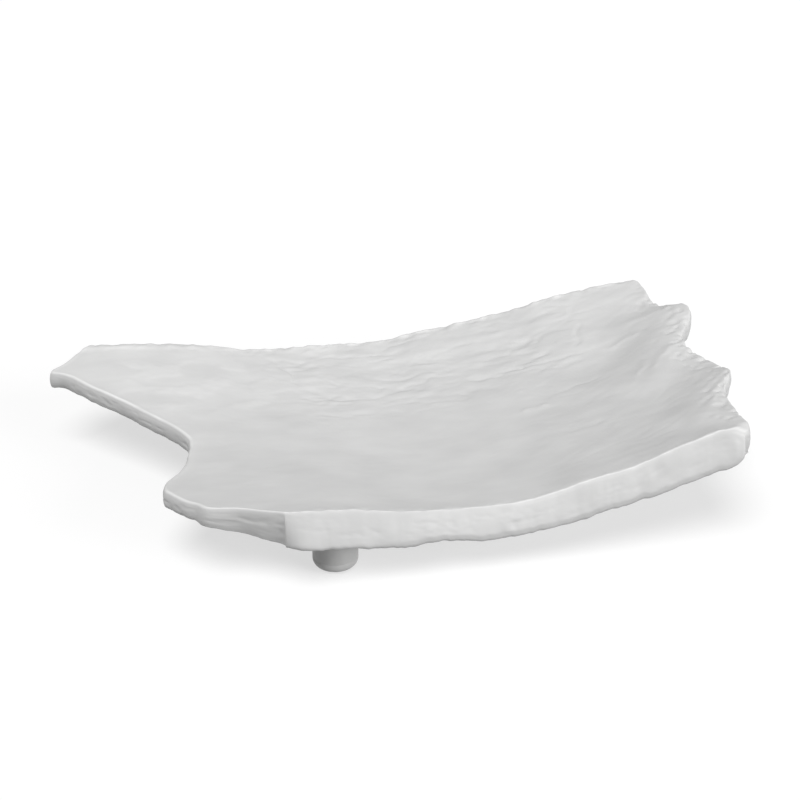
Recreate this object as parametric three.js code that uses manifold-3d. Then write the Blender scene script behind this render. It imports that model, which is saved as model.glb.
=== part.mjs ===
// Serving platter moulded as a torn sheet of bark: a shallow dish that curls up at its right end,
// on three screwed-on peg feet. Millimetres, +Z up, +X along the length, front edge towards -Y.
// The origin is on the table, under the middle of the dish.
import * as THREE from 'three';
import { mergeVertices } from 'three/addons/utils/BufferGeometryUtils.js';
import Module from 'manifold-3d';

const wasm = await Module();
wasm.setup();

// Driving dimensions of the dish
const BODY_LENGTH = 394;
const BODY_WIDTH = 216;
const WALL = 6.5;
const FRONT_LEAN = 4;
// Depth of the edge along the front and elsewhere: past the front it steps down close by and then shrinks
// evenly within a distance, which is longer beyond the left corner
const FRONT_EDGE = 21.6;
const SIDE_EDGE = 10.9;
const FRONT_EDGE_FADE = 28;
const CORNER_FADE = 50;
const CORNER_STEP = 0.3;
const CORNER_STEP_SHARE = 0.25;
const EDGE_LAND = 4;
const EDGE_DRAFT = 3;
const TOP_ROUND = 2;
const BOTTOM_ROUND = 1.5;
const CROSS_SAG = 9;
// Where the end curls up the sag deepens: from a start along X to its full depth, then easing to an end
const CURL_SAG = 12.5;
const CURL_START = 30;
const CURL_FULL = 140;
const CURL_EASE = 145;
const CURL_END = 190;
// Rise of the scallops' tips above the end's mean line, and the run in which it grows
const TIP_RISE = 4.5;
const TIP_RUN = 70;
const CREST_TAPER = 0.2;

// Driving dimensions of the feet and their fixings
const FOOT_EDGE_INSET = 25.7;
const FOOT_CIRCLE_X = -5;
const FOOT_DIAMETER = 25;
const FOOT_HEIGHT = 21;
const FOOT_SOLE_ROUND = 4.5;
const FOOT_TOP_ROUND = 0.6;
const FOOT_SIDE_WALL = 5.7;
const FOOT_SOLE_LAND = 0.6;
const FOOT_WEB = 8;
const SPIGOT_DIAMETER = 14;
const SPIGOT_HEIGHT = 2.5;
const BOSS_MARGIN = 1;
const BOSS_FLARE = 3;
const PAD_DEPTH = 5;
const PAD_PROUD = 1;
const PAD_EDGE_ROUND = 0.5;
const SCREW_DIAMETER = 4;
const SCREW_HEAD_DIAMETER = 8;
const SCREW_HEAD_HEIGHT = 3;
const SCREW_SOCKET = 2.5;
const SCREW_SOCKET_DEPTH = 1.8;
const INSERT_DIAMETER = 6.4;
const INSERT_LENGTH = 8;
const INSERT_GROOVE = 0.4;
const TIP_RELIEF = 1.5;
const COVER_OVER_INSERT = 5.7;
const CLEARANCE = 0.3;
const CUT_OVERSHOOT = 1;

// Fineness of the facets, with a row of them through each end's furthest tip
const LENGTH_STEPS = 36;
const WIDTH_STEPS = 40;
const ROUND_SIDES = 24;
const SMALL_SIDES = 16;
const ARC_STEPS = 4;

// Outline of each end: share of the width from the front edge, inset from the end's furthest tip
const LEFT_END = [
  [0, 114], [0.007, 111], [0.025, 103.4], [0.044, 95.3], [0.057, 89], [0.064, 81], [0.076, 74.4],
  [0.105, 70], [0.12, 66.6], [0.143, 62.7], [0.183, 57.6], [0.204, 55.2], [0.223, 55.4], [0.251, 57.2],
  [0.272, 60.4], [0.317, 66.6], [0.363, 70.2], [0.41, 72.4], [0.448, 74], [0.481, 74.2], [0.51, 72.4],
  [0.539, 69.2], [0.568, 65.2], [0.594, 60.6], [0.623, 55.6], [0.657, 49.2], [0.683, 44.6], [0.707, 40],
  [0.748, 31.3], [0.795, 21.6], [0.825, 16.4], [0.856, 11], [0.876, 5.6], [0.886, 1.2], [0.89, 0],
  [0.9, 0.6], [0.912, 5], [0.933, 10.3], [0.966, 16.6], [1, 25],
];
const RIGHT_END = [
  [0, 27], [0.01, 23.7], [0.03, 22.5], [0.06, 22.2], [0.128, 20.9], [0.205, 19.8], [0.249, 17.2],
  [0.27, 14.2], [0.306, 9.8], [0.335, 7.4], [0.379, 7.6], [0.437, 9.6], [0.5, 13.2], [0.55, 15.4],
  [0.578, 15.8], [0.605, 15.2], [0.63, 12.8], [0.656, 9], [0.697, 3], [0.73, 0.5], [0.752, 0],
  [0.775, 1], [0.797, 7], [0.825, 12.8], [0.87, 15.4], [0.926, 15], [0.975, 15.8], [1, 18.4],
];

// Height of each long rim above its base: share of the length from the left tip, rise
const FRONT_RIM = [
  [0, 10.5], [0.143, 10], [0.288, 9.5], [0.38, 7], [0.423, 4], [0.47, 1.5], [0.506, 0.2], [0.561, -0.5],
  [0.603, -0.3], [0.645, 2], [0.673, 4.8], [0.702, 8.5], [0.73, 11], [0.773, 15.4], [0.801, 19.3],
  [0.83, 23.8], [0.859, 27.6], [0.887, 31.8], [0.902, 33.2], [0.93, 34.6], [1, 36.5],
];
const BACK_RIM = [
  [0, 15.8], [0.061, 17.5], [0.173, 14.4], [0.253, 9.9], [0.309, 5.3], [0.446, 3.2], [0.515, 3],
  [0.575, 6.6], [0.643, 10.1], [0.73, 15.9], [0.829, 24.5], [0.952, 31.4], [1, 33.4],
];

// Torn foot of the front edge: share of the length from the left tip, how much deeper it reaches there
const FRONT_FOOT = [
  [0.287, 1.2], [0.411, 0.4], [0.464, -1], [0.513, -3.1], [0.563, -1.4], [0.627, -1.6], [0.665, -0.4],
  [0.698, 1.8], [0.741, 0.1], [0.784, 0.8], [0.82, 2.7], [0.881, 2.7], [0.911, 0.9], [0.931, -6.6],
];

// Crests that run in from the scallops: height, width on either side of a line, and points on that line
const CRESTS = [
  { height: 3, left: 12, right: 24, line: [[190, 30], [163, 9], [148, -12], [128, -34]] },
  { height: 2.4, left: 12, right: 20, line: [[194, -20], [180, -42], [165, -62], [140, -84]] },
];

// Places that follow from the sizes above
const LEFT_TIP = -BODY_LENGTH / 2;
const RIGHT_TIP = BODY_LENGTH / 2;
const FRONT_Y = -BODY_WIDTH / 2;
const SOLE_Z = PAD_PROUD;
const SEAT_Z = SOLE_Z + FOOT_HEIGHT;
const WEB_Z = SEAT_Z + SPIGOT_HEIGHT - FOOT_WEB;
const HEAD_TOP_Z = WEB_Z - CLEARANCE;
const INSERT_Z = SEAT_Z + SPIGOT_HEIGHT + CLEARANCE;
const INSERT_TOP_Z = INSERT_Z + INSERT_LENGTH;
const HOLE_TOP_Z = INSERT_TOP_Z + TIP_RELIEF;
const DISH_Z = HOLE_TOP_Z + COVER_OVER_INSERT;
const PAD_BORE = FOOT_DIAMETER - 2 * FOOT_SIDE_WALL;
const PAD_DIAMETER = PAD_BORE - 2 * CLEARANCE;
const SCREW_BORE = SCREW_DIAMETER + 2 * CLEARANCE;
const BOSS_RADIUS = FOOT_DIAMETER / 2 + BOSS_MARGIN;
const EDGE_THICKNESS = TOP_ROUND + EDGE_LAND;
const EDGE_LINES = [0, TOP_ROUND / 3, TOP_ROUND, EDGE_THICKNESS, EDGE_THICKNESS + EDGE_DRAFT];

// Three feet a third of a turn apart, with the left pair set in from the front and back edges
const LEFT_FEET_ANGLE = 120;
const FOOT_ANGLES = { front_left: -LEFT_FEET_ANGLE, back_left: LEFT_FEET_ANGLE, right: 0 };
const FOOT_CIRCLE_RADIUS = (BODY_WIDTH / 2 - FOOT_EDGE_INSET)
  / Math.sin(THREE.MathUtils.degToRad(LEFT_FEET_ANGLE));

const MELAMINE = new THREE.MeshStandardMaterial({ color: 0xd9d9d8, roughness: 0.42, metalness: 0 });
const STEEL = new THREE.MeshStandardMaterial({ color: 0xb4b7ba, roughness: 0.3, metalness: 1 });
const BRASS = new THREE.MeshStandardMaterial({ color: 0xb99b53, roughness: 0.4, metalness: 1 });
const RUBBER = new THREE.MeshStandardMaterial({ color: 0x6e6f70, roughness: 0.85, metalness: 0 });

// A smooth curve through points, which never swings past them: cubic pieces between the points, each
// point's slope being the harmonic mean of its two neighbouring slopes, or level where they turn.
function curveThrough(points) {
  const run = (i) => points[i + 1][0] - points[i][0];
  const slope = (i) => (points[i + 1][1] - points[i][1]) / run(i);
  const last = points.length - 1;
  const tangents = points.map((point, i) => {
    if (i === 0) return slope(0);
    if (i === last) return slope(last - 1);
    const before = slope(i - 1);
    const after = slope(i);
    if (before * after <= 0) return 0;
    const weightBefore = 2 * run(i) + run(i - 1);
    const weightAfter = run(i) + 2 * run(i - 1);
    return (weightBefore + weightAfter) / (weightBefore / before + weightAfter / after);
  });
  return (at) => {
    const t = THREE.MathUtils.clamp(at, points[0][0], points[last][0]);
    let i = 0;
    while (i < last - 1 && t > points[i + 1][0]) i += 1;
    const h = run(i);
    const k = (t - points[i][0]) / h;
    const start = points[i][1] * (1 + 2 * k) * (1 - k) ** 2 + tangents[i] * h * k * (1 - k) ** 2;
    const end = points[i + 1][1] * k ** 2 * (3 - 2 * k) + tangents[i + 1] * h * k ** 2 * (k - 1);
    return start + end;
  };
}

const leftInset = curveThrough(LEFT_END);
const rightInset = curveThrough(RIGHT_END);
const frontRise = curveThrough(FRONT_RIM);
const backRise = curveThrough(BACK_RIM);
const frontFoot = curveThrough(FRONT_FOOT);
const rightInsetMean = RIGHT_END.reduce((sum, point) => sum + point[1], 0) / RIGHT_END.length;

// Height of a crest: a bell curve of the distance to its line, tapering off at both ends
function crestHeight({ height, left, right, line }, x, y) {
  const here = new THREE.Vector2(x, y);
  const points = line.map((point) => new THREE.Vector2(...point));
  let travelled = 0;
  let nearest = { distance: Infinity };
  for (let i = 0; i < points.length - 1; i += 1) {
    const step = points[i + 1].clone().sub(points[i]);
    const length = step.length();
    const offset = here.clone().sub(points[i]);
    const ahead = THREE.MathUtils.clamp(offset.dot(step) / length, 0, length);
    const distance = points[i].clone().addScaledVector(step, ahead / length).distanceTo(here);
    if (distance < nearest.distance) {
      nearest = { distance, along: travelled + ahead, width: step.cross(offset) > 0 ? left : right };
    }
    travelled += length;
  }
  const share = nearest.along / travelled;
  const taper = THREE.MathUtils.smoothstep(share, 0, CREST_TAPER)
    * THREE.MathUtils.smoothstep(1 - share, 0, CREST_TAPER);
  return height * taper * Math.exp(-((nearest.distance / nearest.width) ** 2));
}

// Top surface: the two long rims joined by a chord that sags, most where the end starts to curl, with
// the scallops' tips drawn up and crests running in from them
function dishTop(x, y) {
  const across = THREE.MathUtils.clamp((y - FRONT_Y) / BODY_WIDTH, 0, 1);
  const along = (x - LEFT_TIP) / BODY_LENGTH;
  const chord = THREE.MathUtils.lerp(frontRise(along), backRise(along), across);
  const curl = THREE.MathUtils.smoothstep(x, CURL_START, CURL_FULL)
    * THREE.MathUtils.smoothstep(-x, -CURL_END, -CURL_EASE);
  const sag = THREE.MathUtils.lerp(CROSS_SAG, CURL_SAG, curl) * 4 * across * (1 - across);
  const growth = THREE.MathUtils.smoothstep(x, RIGHT_TIP - TIP_RUN, RIGHT_TIP);
  const tips = TIP_RISE * growth * (1 - rightInset(across) / rightInsetMean);
  const crests = CRESTS.reduce((sum, crest) => sum + crestHeight(crest, x, y), 0);
  return DISH_Z + chord - sag + tips + crests;
}

// Depth of the turned-down edge: tall along the front, thin at the ends and the back
function edgeDepth(x, y) {
  const pastCorner = Math.max(LEFT_TIP + LEFT_END[0][1] - x, 0);
  const inward = Math.max(y - FRONT_Y - FRONT_LEAN, 0);
  const away = Math.hypot(pastCorner / CORNER_FADE, inward / FRONT_EDGE_FADE);
  const step = Math.max(1 - away / CORNER_STEP_SHARE, 0);
  const atFront = THREE.MathUtils.lerp(Math.max(1 - away, 0), step, CORNER_STEP);
  const frontDepth = FRONT_EDGE + frontFoot((x - LEFT_TIP) / BODY_LENGTH);
  return THREE.MathUtils.lerp(SIDE_EDGE, frontDepth, atFront);
}

// How far a rounded edge of a given radius drops at a distance in from the outline
function roundDrop(distance, radius) {
  const inside = Math.max(0, radius - distance);
  return radius - Math.sqrt(radius ** 2 - inside ** 2);
}

// Thickness below the top surface: the full edge, then a drafted inner face up to the plain wall
function underDepth(x, y, distance) {
  const inner = THREE.MathUtils.smoothstep(distance, EDGE_THICKNESS, EDGE_THICKNESS + EDGE_DRAFT);
  const depth = THREE.MathUtils.lerp(edgeDepth(x, y), WALL, inner);
  return depth - roundDrop(distance, BOTTOM_ROUND);
}

// Distances across a span, closer together near both ends
function spanLines(length, steps) {
  const margin = EDGE_LINES[EDGE_LINES.length - 1];
  const middle = [];
  for (let i = 1; i < steps; i += 1) middle.push(margin + (length - 2 * margin) * (i / steps));
  const far = EDGE_LINES.map((line) => length - line).reverse();
  return [...EDGE_LINES, ...middle, ...far];
}

// Closed shell of the dish: a grid for the top, one for the underside and a band round the outline. The
// top's front rim leans back over the foot of the front edge.
function dishShell() {
  const rows = spanLines(BODY_WIDTH, WIDTH_STEPS);
  const top = [];
  const under = [];
  rows.forEach((row) => {
    const across = row / BODY_WIDTH;
    const y = FRONT_Y + row;
    const topY = y + FRONT_LEAN * (1 - across);
    const startX = LEFT_TIP + leftInset(across);
    const endX = RIGHT_TIP - rightInset(across);
    spanLines(endX - startX, LENGTH_STEPS).forEach((column) => {
      const x = startX + column;
      const distance = Math.min(row, BODY_WIDTH - row, column, endX - startX - column);
      const z = dishTop(x, topY);
      top.push(x, topY, z - roundDrop(distance, TOP_ROUND));
      under.push(x, y, z - underDepth(x, topY, distance));
    });
  });
  const rowCount = rows.length;
  const columnCount = top.length / 3 / rowCount;
  const underStart = rowCount * columnCount;
  const index = [];
  const quad = (a, b, c, d) => index.push(a, b, c, a, c, d);
  const at = (row, column) => row * columnCount + column;
  for (let r = 0; r < rowCount - 1; r += 1) {
    for (let c = 0; c < columnCount - 1; c += 1) {
      quad(at(r, c), at(r, c + 1), at(r + 1, c + 1), at(r + 1, c));
      const low = (row, column) => underStart + at(row, column);
      quad(low(r, c), low(r + 1, c), low(r + 1, c + 1), low(r, c + 1));
    }
  }
  const wall = (a, b) => quad(a, underStart + a, underStart + b, b);
  for (let c = 0; c < columnCount - 1; c += 1) {
    wall(at(0, c), at(0, c + 1));
    wall(at(rowCount - 1, c + 1), at(rowCount - 1, c));
  }
  for (let r = 0; r < rowCount - 1; r += 1) {
    wall(at(r + 1, 0), at(r, 0));
    wall(at(r, columnCount - 1), at(r + 1, columnCount - 1));
  }
  const geometry = new THREE.BufferGeometry();
  geometry.setAttribute('position', new THREE.Float32BufferAttribute([...top, ...under], 3));
  geometry.setIndex(index);
  return geometry;
}

// Round solid from a profile of [radius, height] points, standing on +Z
function turned(profile, sides) {
  const points = profile.map(([radius, height]) => new THREE.Vector2(radius, height));
  const geometry = new THREE.LatheGeometry(points, sides);
  geometry.rotateX(Math.PI / 2);
  return geometry;
}

// Quarter-round corner points about a centre, from one angle to another in degrees
function arc(centreRadius, centreHeight, radius, fromDegrees, toDegrees) {
  return Array.from({ length: ARC_STEPS + 1 }, (unused, i) => {
    const angle = THREE.MathUtils.degToRad(THREE.MathUtils.lerp(fromDegrees, toDegrees, i / ARC_STEPS));
    return [centreRadius + radius * Math.cos(angle), centreHeight + radius * Math.sin(angle)];
  });
}

// Plain round plug between two heights, used to bore a hole
function plug(diameter, fromZ, toZ, sides) {
  const radius = diameter / 2;
  return turned([[0, fromZ], [radius, fromZ], [radius, toZ], [0, toZ]], sides);
}

// Closed solid ready to be joined or cut
function solid(geometry) {
  const bare = geometry.clone();
  bare.deleteAttribute('normal');
  bare.deleteAttribute('uv');
  const merged = mergeVertices(bare, 1e-4);
  return new wasm.Manifold(new wasm.Mesh({
    numProp: 3,
    vertProperties: new Float32Array(merged.attributes.position.array),
    triVerts: new Uint32Array(merged.index.array),
  }));
}

function fromSolid(body) {
  const mesh = body.getMesh();
  const geometry = new THREE.BufferGeometry();
  geometry.setAttribute('position', new THREE.BufferAttribute(new Float32Array(mesh.vertProperties), 3));
  geometry.setIndex(new THREE.BufferAttribute(new Uint32Array(mesh.triVerts), 1));
  geometry.computeVertexNormals();
  return geometry;
}

// Boss under the dish: a column from the foot's seat that flares into the underside and ends inside
// the wall, with its crown following the curve of the dish
function bossColumn(x, y) {
  const rootRadius = BOSS_RADIUS + BOSS_FLARE;
  const seat = [[0, 0], [BOSS_RADIUS, 0]];
  const flare = arc(rootRadius, -BOSS_FLARE, BOSS_FLARE, 180, 90);
  const crown = [rootRadius, BOSS_RADIUS / 2, 0].map((radius) => [radius, WALL / 2]);
  const profile = [...seat, ...flare, ...crown];
  const geometry = turned(profile, ROUND_SIDES);
  const position = geometry.attributes.position;
  for (let i = 0; i < position.count; i += 1) {
    const step = i % profile.length;
    const underside = dishTop(x + position.getX(i), y + position.getY(i)) - WALL;
    position.setZ(i, step < seat.length ? SEAT_Z : underside + profile[step][1]);
  }
  return geometry.translate(x, y, 0);
}

// The moulded dish with its bosses, each with a recess for the foot's spigot and a hole for its insert
function platterBody(places) {
  let body = solid(dishShell());
  places.forEach(({ x, y }) => {
    body = body.add(solid(bossColumn(x, y)));
  });
  places.forEach(({ x, y }) => {
    const recess = plug(SPIGOT_DIAMETER + 2 * CLEARANCE, SEAT_Z - CUT_OVERSHOOT, INSERT_Z, ROUND_SIDES);
    const hole = plug(INSERT_DIAMETER + 2 * CLEARANCE, SEAT_Z, HOLE_TOP_Z, SMALL_SIDES);
    body = body.subtract(solid(recess.translate(x, y, 0)));
    body = body.subtract(solid(hole.translate(x, y, 0)));
  });
  return fromSolid(body);
}

// Hollow peg: rounded sole, spigot on top, a web for the screw and a bore for the rubber pad
function footPeg() {
  const radius = FOOT_DIAMETER / 2;
  const soleRound = Math.min(FOOT_SOLE_ROUND, FOOT_SIDE_WALL - FOOT_SOLE_LAND);
  const top = SEAT_Z - CLEARANCE;
  const spigotTop = SEAT_Z + SPIGOT_HEIGHT;
  return turned([
    [PAD_BORE / 2, SOLE_Z],
    ...arc(radius - soleRound, SOLE_Z + soleRound, soleRound, -90, 0),
    ...arc(radius - FOOT_TOP_ROUND, top - FOOT_TOP_ROUND, FOOT_TOP_ROUND, 0, 90),
    [SPIGOT_DIAMETER / 2, top],
    [SPIGOT_DIAMETER / 2, spigotTop],
    [SCREW_BORE / 2, spigotTop],
    [SCREW_BORE / 2, WEB_Z],
    [PAD_BORE / 2, WEB_Z],
    [PAD_BORE / 2, SOLE_Z],
  ], ROUND_SIDES);
}

// Machine screw, head down: low domed head with a round-bottomed drive socket, plain shank for thread
function footScrew() {
  const headBottom = HEAD_TOP_Z - SCREW_HEAD_HEIGHT;
  const headRadius = SCREW_HEAD_DIAMETER / 2;
  const dome = SCREW_HEAD_HEIGHT / 2;
  const tip = INSERT_TOP_Z;
  return turned([
    [0, headBottom + SCREW_SOCKET_DEPTH],
    [SCREW_SOCKET / 2, headBottom + SCREW_SOCKET_DEPTH],
    [SCREW_SOCKET / 2, headBottom],
    ...arc(headRadius - dome, headBottom + dome, dome, -90, 0),
    [headRadius, HEAD_TOP_Z],
    [SCREW_DIAMETER / 2, HEAD_TOP_Z],
    [SCREW_DIAMETER / 2, tip - CLEARANCE],
    [SCREW_DIAMETER / 2 - CLEARANCE, tip],
    [0, tip],
  ], SMALL_SIDES);
}

// Brass bush with a waist groove that locks it into the boss
function threadedInsert() {
  const outer = INSERT_DIAMETER / 2;
  const waist = outer - INSERT_GROOVE;
  const middle = INSERT_Z + INSERT_LENGTH / 2;
  return turned([
    [SCREW_BORE / 2, INSERT_Z],
    [outer, INSERT_Z],
    [outer, middle - 2 * INSERT_GROOVE],
    [waist, middle - INSERT_GROOVE],
    [waist, middle + INSERT_GROOVE],
    [outer, middle + 2 * INSERT_GROOVE],
    [outer, INSERT_TOP_Z],
    [SCREW_BORE / 2, INSERT_TOP_Z],
    [SCREW_BORE / 2, INSERT_Z],
  ], SMALL_SIDES);
}

// Rubber plug pressed into the sole, standing a little proud of it
function solePad() {
  const radius = PAD_DIAMETER / 2;
  return turned([
    [0, SOLE_Z - PAD_PROUD],
    ...arc(radius - PAD_EDGE_ROUND, SOLE_Z - PAD_PROUD + PAD_EDGE_ROUND, PAD_EDGE_ROUND, -90, 0),
    [radius, SOLE_Z + PAD_DEPTH],
    [0, SOLE_Z + PAD_DEPTH],
  ], ROUND_SIDES);
}

const places = Object.entries(FOOT_ANGLES).map(([name, degrees]) => {
  const angle = THREE.MathUtils.degToRad(degrees);
  return {
    name,
    x: FOOT_CIRCLE_X + FOOT_CIRCLE_RADIUS * Math.cos(angle),
    y: FOOT_CIRCLE_RADIUS * Math.sin(angle),
  };
});

const platter = new THREE.Group();

function addPiece(name, geometry, material, x = 0, y = 0) {
  const mesh = new THREE.Mesh(geometry, material);
  mesh.name = name;
  mesh.position.set(x, y, 0);
  platter.add(mesh);
}

addPiece('platter_body', platterBody(places), MELAMINE);
places.forEach(({ name, x, y }) => {
  addPiece(`foot_${name}`, footPeg(), MELAMINE, x, y);
  addPiece(`foot_screw_${name}`, footScrew(), STEEL, x, y);
  addPiece(`threaded_insert_${name}`, threadedInsert(), BRASS, x, y);
  addPiece(`sole_pad_${name}`, solePad(), RUBBER, x, y);
});

export default platter;
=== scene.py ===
from collections import namedtuple

import bpy
import numpy as np
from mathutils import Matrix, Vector


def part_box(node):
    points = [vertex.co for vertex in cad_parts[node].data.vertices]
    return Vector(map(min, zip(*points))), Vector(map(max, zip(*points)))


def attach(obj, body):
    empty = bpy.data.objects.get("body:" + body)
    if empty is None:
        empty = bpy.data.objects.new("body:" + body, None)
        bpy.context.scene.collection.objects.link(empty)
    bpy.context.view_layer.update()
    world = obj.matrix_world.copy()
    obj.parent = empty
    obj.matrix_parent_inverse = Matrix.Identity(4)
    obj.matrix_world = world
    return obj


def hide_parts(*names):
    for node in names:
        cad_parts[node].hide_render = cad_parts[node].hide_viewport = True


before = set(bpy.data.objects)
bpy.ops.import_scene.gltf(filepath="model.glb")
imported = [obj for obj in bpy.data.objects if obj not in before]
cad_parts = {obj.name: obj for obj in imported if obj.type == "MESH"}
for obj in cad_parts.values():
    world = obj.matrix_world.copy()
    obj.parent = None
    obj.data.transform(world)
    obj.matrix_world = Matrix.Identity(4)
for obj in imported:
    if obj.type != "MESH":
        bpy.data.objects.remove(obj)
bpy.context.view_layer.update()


# The dish is one compression moulding in satin white melamine, shaped like a sheet torn from a log's
# bark: a tall plain front edge, a left end split into two prongs and a right end curled up and torn into
# scallops. Three bosses moulded under it hold the brass inserts and seat the feet.
MM = 0.001
dish_low, dish_high = (np.array(corner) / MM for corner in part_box("platter_body"))
LEFT_TIP, FRONT_Y = dish_low[:2]
RIGHT_TIP, BACK_Y = dish_high[:2]
DISH_LENGTH = RIGHT_TIP - LEFT_TIP
DISH_WIDTH = BACK_Y - FRONT_Y
DISH_WALL = 6.5
COVER_OVER_INSERT = 7.2
RIM_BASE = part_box("threaded_insert_right")[1].z / MM + COVER_OVER_INSERT


def curve_through(points, at):
    """Smooth curve through places and values that never swings past them: a cubic between each two
    points, whose slope at a point is the weighted harmonic mean of the slopes beside it, or level where
    the curve turns."""
    place, value = np.array(points, float).T
    run = np.diff(place)
    slope = np.diff(value) / run
    before, after = slope[:-1], slope[1:]
    same_way = before * after > 0
    weight_before = 2 * run[1:] + run[:-1]
    weight_after = run[1:] + 2 * run[:-1]
    shares = weight_before / np.where(same_way, before, 1) + weight_after / np.where(same_way, after, 1)
    inner = np.where(same_way, (weight_before + weight_after) / np.where(same_way, shares, 1), 0)
    tangent = np.concatenate([slope[:1], inner, slope[-1:]])
    at = np.clip(at, place[0], place[-1])
    i = np.clip(np.searchsorted(place, at) - 1, 0, len(run) - 1)
    k = (at - place[i]) / run[i]
    start = value[i] * (1 + 2 * k) * (1 - k) ** 2 + tangent[i] * run[i] * k * (1 - k) ** 2
    end = value[i + 1] * k**2 * (3 - 2 * k) + tangent[i + 1] * run[i] * k**2 * (k - 1)
    return start + end


def ease(value, start, end):
    """Smooth step from 0 at start to 1 at end, either way round: three squares less two cubes of the share
    of the way between."""
    share = np.clip((value - start) / (end - start), 0, 1)
    return share**2 * (3 - 2 * share)


def window(value, start, full, fading, end):
    """Smooth window: rises from 0 at the first place to 1 at the second, and falls from the third to 0 at
    the fourth."""
    return ease(value, start, full) * ease(value, end, fading)


def bell(distance, width):
    """Bell curve: the exponential of less the square of a distance over a width."""
    return np.exp(-((distance / width) ** 2))


def wander(x, y, seed):
    """Smooth random height between about -1 and 1, with hills one unit across: a random slope at each
    whole-numbered place, blended between its four neighbours by a curve of the fifth degree."""
    size = 128
    to_unit_height = 1.4
    angle = np.random.default_rng(seed).random((size, size)) * 2 * np.pi
    column, row = np.floor(x).astype(int), np.floor(y).astype(int)
    right, up = x - column, y - row

    def slope_from(dx, dy):
        heading = angle[(row + dy) % size, (column + dx) % size]
        return np.cos(heading) * (right - dx) + np.sin(heading) * (up - dy)

    blend_x = right**3 * (right * (right * 6 - 15) + 10)
    blend_y = up**3 * (up * (up * 6 - 15) + 10)
    low = slope_from(0, 0) * (1 - blend_x) + slope_from(1, 0) * blend_x
    high = slope_from(0, 1) * (1 - blend_x) + slope_from(1, 1) * blend_x
    return to_unit_height * (low * (1 - blend_y) + high * blend_y)


def random_line(layers, along):
    """Random height along a line: the sum of wandering heights, each with its height, run and seed."""
    return sum(height * wander(along / run, 0 * along, seed) for height, run, seed in layers)


def random_relief(layers, x, y):
    """Random height over a surface: the sum of wandering heights, each with its height, its run along x and
    along y, and its seed."""
    return sum(height * wander(x / run_x, y / run_y, seed) for height, run_x, run_y, seed in layers)


# Outline of each end: share of the width from the front edge, inset from the end's furthest tip
LEFT_END = [
    (0, 114), (0.007, 111), (0.025, 103.4), (0.044, 95.3), (0.057, 89), (0.064, 81), (0.076, 74.4),
    (0.105, 70), (0.12, 66.6), (0.143, 62.7), (0.183, 57.6), (0.204, 55.2), (0.223, 55.4), (0.251, 57.2),
    (0.272, 60.4), (0.317, 66.6), (0.363, 70.2), (0.41, 72.4), (0.448, 74), (0.481, 74.2), (0.51, 72.4),
    (0.539, 69.2), (0.568, 65.2), (0.594, 60.6), (0.623, 55.6), (0.657, 49.2), (0.683, 44.6), (0.707, 40),
    (0.748, 31.3), (0.795, 21.6), (0.825, 16.4), (0.856, 11), (0.876, 5.6), (0.886, 1.2), (0.89, 0),
    (0.9, 0.6), (0.912, 5), (0.933, 10.3), (0.966, 16.6), (1, 25),
]
RIGHT_END = [
    (0, 27), (0.01, 23.7), (0.03, 22.5), (0.06, 22.2), (0.128, 20.9), (0.205, 19.8), (0.249, 17.2),
    (0.27, 14.2), (0.306, 9.8), (0.335, 7.4), (0.379, 7.6), (0.437, 9.6), (0.5, 13.2), (0.55, 15.4),
    (0.578, 15.8), (0.605, 15.2), (0.63, 12.8), (0.656, 9), (0.697, 3), (0.73, 0.5), (0.752, 0), (0.775, 1),
    (0.797, 7), (0.825, 12.8), (0.87, 15.4), (0.926, 15), (0.975, 15.8), (1, 18.4),
]
# Height of each long rim above its base: share of the length from the left tip, rise
FRONT_RIM = [
    (0, 10.5), (0.143, 10), (0.288, 9.5), (0.38, 7), (0.423, 4), (0.47, 1.5), (0.506, 0.2), (0.561, -0.5),
    (0.603, -0.3), (0.645, 2), (0.673, 4.8), (0.702, 8.5), (0.73, 11), (0.773, 15.4), (0.801, 19.3),
    (0.83, 23.8), (0.859, 27.6), (0.887, 31.8), (0.902, 33.2), (0.93, 34.6), (1, 36.5),
]
BACK_RIM = [
    (0, 15.8), (0.061, 17.5), (0.173, 14.4), (0.253, 9.9), (0.309, 5.3), (0.446, 3.2), (0.515, 3),
    (0.575, 6.6), (0.643, 10.1), (0.73, 15.9), (0.829, 24.5), (0.952, 31.4), (1, 33.4),
]
CROSS_SAG = 9.0
CURL_SAG = 12.5
CURL_SAG_ALONG = (30, 140, 145, 190)
TIP_RISE = 4.4
TIP_RUN = 70.0


def dish_height(x, y):
    """Height of the plain top surface: a straight line from the front rim to the back rim, sagging in a
    parabola that is deepest where the end starts to curl, with the scallops' tips drawn up."""
    across = np.clip((y - FRONT_Y) / DISH_WIDTH, 0, 1)
    along = (x - LEFT_TIP) / DISH_LENGTH
    chord = (1 - across) * curve_through(FRONT_RIM, along) + across * curve_through(BACK_RIM, along)
    deepest = CROSS_SAG + (CURL_SAG - CROSS_SAG) * window(x, *CURL_SAG_ALONG)
    sag = deepest * 4 * across * (1 - across)
    growth = ease(x, RIGHT_TIP - TIP_RUN, RIGHT_TIP)
    mean_inset = np.mean([inset for _, inset in RIGHT_END])
    tips = TIP_RISE * growth * (1 - curve_through(RIGHT_END, across) / mean_inset)
    return RIM_BASE + chord - sag + tips


# Two crests that run in from the scallops' tips, and the hollows behind them: height, width to the left
# and to the right of the line that each follows, and places on that line
CRESTS = [
    (3.0, 12, 24, [(190, 30), (163, 9), (148, -12), (134, -28)]),
    (2.4, 12, 20, [(194, -20), (180, -42), (165, -62), (140, -84)]),
    (-2.2, 13, 28, [(184, 68), (157, 46), (136, 29), (108, 8)]),
    (-1.0, 11, 16, [(190, -4), (172, -28), (152, -46), (130, -60)]),
]
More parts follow.
